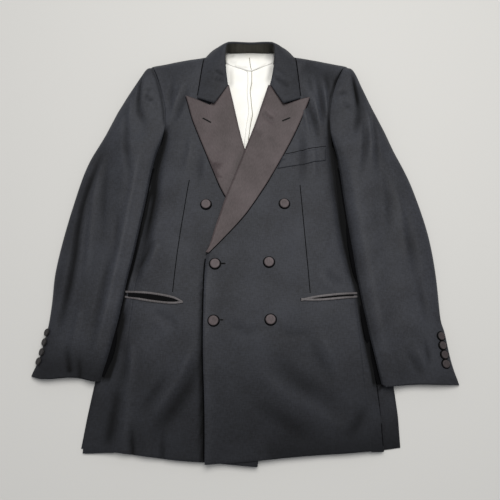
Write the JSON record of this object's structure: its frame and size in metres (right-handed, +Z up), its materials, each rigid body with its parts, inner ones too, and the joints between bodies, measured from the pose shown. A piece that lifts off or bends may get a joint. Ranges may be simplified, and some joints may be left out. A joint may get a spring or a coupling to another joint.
{
  "type": "tuxedo jacket",
  "caption": "Black double-breasted dinner jacket with satin peak lapels, laid flat on its back with its sleeves beside it.",
  "frame": {"origin": "middle of the underside's box, on the surface the jacket lies on", "axes": "+Z up from that surface, out of the front with its buttons; +Y up the garment, from hem to collar; +X towards the wearer's left"},
  "size_m": [0.7606, 0.8432, 0.0375],
  "materials": {
    "black_wool": "matt wool barathea",
    "black_satin": "satin, softly shining",
    "ivory_lining": "smooth woven lining",
    "black_pocketing": "matt cotton"
  },
  "bodies": {
    "root": {"back_left": "black_wool", "back_right": "black_wool", "breast_welt": "black_wool", "button_cuff_left_1": "black_satin", "button_cuff_left_2": "black_satin", "button_cuff_left_3": "black_satin", "button_cuff_left_4": "black_satin", "button_cuff_right_1": "black_satin", "button_cuff_right_2": "black_satin", "button_cuff_right_3": "black_satin", "button_cuff_right_4": "black_satin", "button_front_1": "black_satin", "button_front_2": "black_satin", "button_front_3": "black_satin", "button_front_4": "black_satin", "button_front_5": "black_satin", "button_front_6": "black_satin", "collar": "black_wool", "collar_stand": "black_wool", "front_left": "black_wool", "front_right": "black_wool", "jet_lower_left": "black_satin", "jet_lower_right": "black_satin", "jet_upper_left": "black_satin", "jet_upper_right": "black_satin", "lapel_left": "black_satin", "lapel_right": "black_satin", "lining_left": "ivory_lining", "lining_right": "ivory_lining", "neck_band": "ivory_lining", "pocket_mouth_left": "black_pocketing", "pocket_mouth_right": "black_pocketing", "side_left": "black_wool", "side_right": "black_wool", "sleeve_top_left": "black_wool", "sleeve_top_right": "black_wool", "sleeve_under_left": "black_wool", "sleeve_under_right": "black_wool"}
  },
  "joints": []
}
